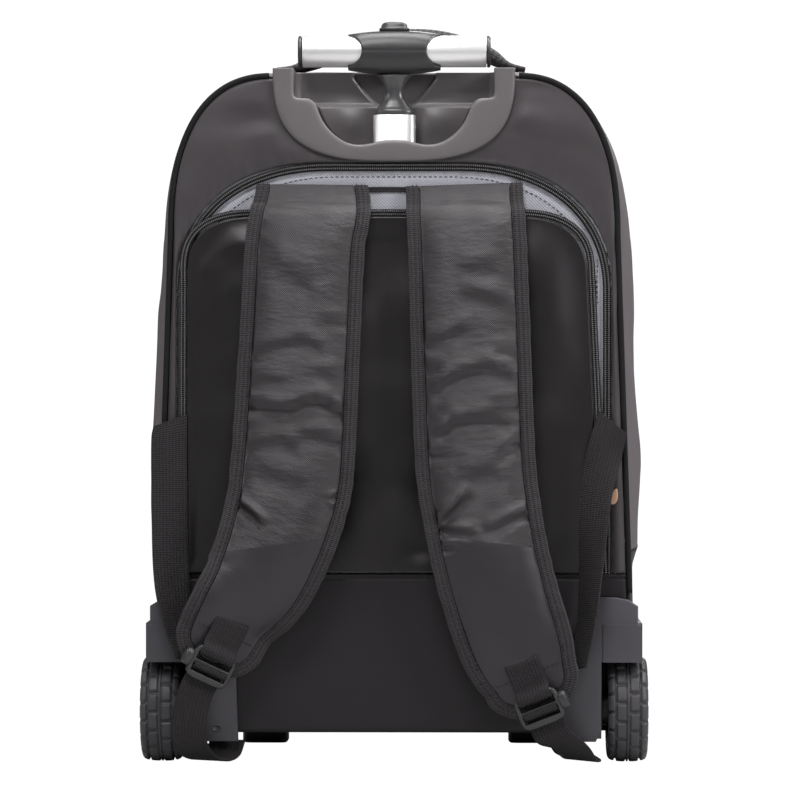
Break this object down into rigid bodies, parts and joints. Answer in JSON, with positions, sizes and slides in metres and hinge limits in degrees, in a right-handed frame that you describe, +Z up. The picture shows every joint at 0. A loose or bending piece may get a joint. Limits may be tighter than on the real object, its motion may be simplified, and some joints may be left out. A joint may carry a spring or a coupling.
{
  "type": "wheeled backpack",
  "caption": "Wheeled backpack with padded shoulder straps, a single-post trolley handle with a T-grip and corner wheels, standing upright.",
  "frame": {"origin": "middle of the bounding box on the floor that the wheels and feet stand on", "axes": "+Z up along the trolley post; -Y is the side with the shoulder straps, +Y the front face; +X is to the right when the straps are looked at"},
  "size_m": [0.3532, 0.2498, 0.5179],
  "materials": {
    "nylon": "dark charcoal woven nylon",
    "side_nylon": "mauve-grey woven nylon",
    "smooth_panel": "smooth black coated cloth",
    "grey_lining": "light grey woven lining",
    "zip_black": "black zip tape and cord",
    "binding": "black ribbed edge binding",
    "pad_nylon": "black padded nylon with a soft sheen",
    "webbing": "black ribbed webbing",
    "mesh_cloth": "black spacer mesh",
    "cup_plastic": "dark grey moulded plastic",
    "black_plastic": "black satin plastic",
    "housing_plastic": "dark grey moulded plastic",
    "tyre_rubber": "dark grey rubber",
    "aluminium": "satin",
    "steel": "satin",
    "tan_leather": "light tan"
  },
  "bodies": {
    "bag": {"gusset": "side_nylon", "bottom_boot": "nylon", "front_panel": "nylon", "back_piping_left": "zip_black", "back_piping_right": "zip_black", "front_piping": "zip_black", "back_panel": "nylon", "lower_back_panel": "smooth_panel", "pocket_lining": "grey_lining", "back_zip": "zip_black", "strap_flap": "nylon", "flap_zip": "zip_black", "zip_puller": "tan_leather", "handle_cup": "cup_plastic", "grab_handle": "mesh_cloth", "trolley_tube": "aluminium", "wheel_housing_left": "housing_plastic", "axle_left": "steel", "front_foot_left": "black_plastic", "strap_pad_left": "pad_nylon", "strap_binding_left": "binding", "ladder_buckle_left": "black_plastic", "anchor_web_left": "webbing", "adjuster_web_left": "webbing", "adjuster_loop_left": "webbing", "wheel_housing_right": "housing_plastic", "axle_right": "steel", "front_foot_right": "black_plastic", "strap_pad_right": "pad_nylon", "strap_binding_right": "binding", "ladder_buckle_right": "black_plastic", "anchor_web_right": "webbing", "adjuster_web_right": "webbing", "adjuster_loop_right": "webbing"},
    "handle": {"trolley_post": "aluminium", "handle_neck": "black_plastic", "handle_hub": "black_plastic", "grip_tube_left": "aluminium", "grip_tube_right": "aluminium", "grip_cap_left": "black_plastic", "grip_cap_right": "black_plastic"},
    "button": {"release_button": "black_plastic"},
    "wheel_left": {"tyre_left": "tyre_rubber", "wheel_rim_left": "black_plastic"},
    "wheel_right": {"tyre_right": "tyre_rubber", "wheel_rim_right": "black_plastic"}
  },
  "joints": [
    {"name": "handle_slide", "type": "slide", "parent": "bag", "child": "handle", "axis": [0, 0, 1], "range_m": [-0.0227, 0.31]},
    {"name": "button_press", "type": "slide", "parent": "handle", "child": "button", "axis": [0, 0, -1], "range_m": [0, 0.003], "stiffness_N_per_m": 400, "springref_m": -0.004},
    {"name": "wheel_left_spin", "type": "hinge", "parent": "bag", "child": "wheel_left", "pos_m": [-0.1626, -0.0494, 0.037], "axis": [1, 0, 0], "continuous": true},
    {"name": "wheel_right_spin", "type": "hinge", "parent": "bag", "child": "wheel_right", "pos_m": [0.1626, -0.0494, 0.037], "axis": [1, 0, 0], "continuous": true}
  ]
}
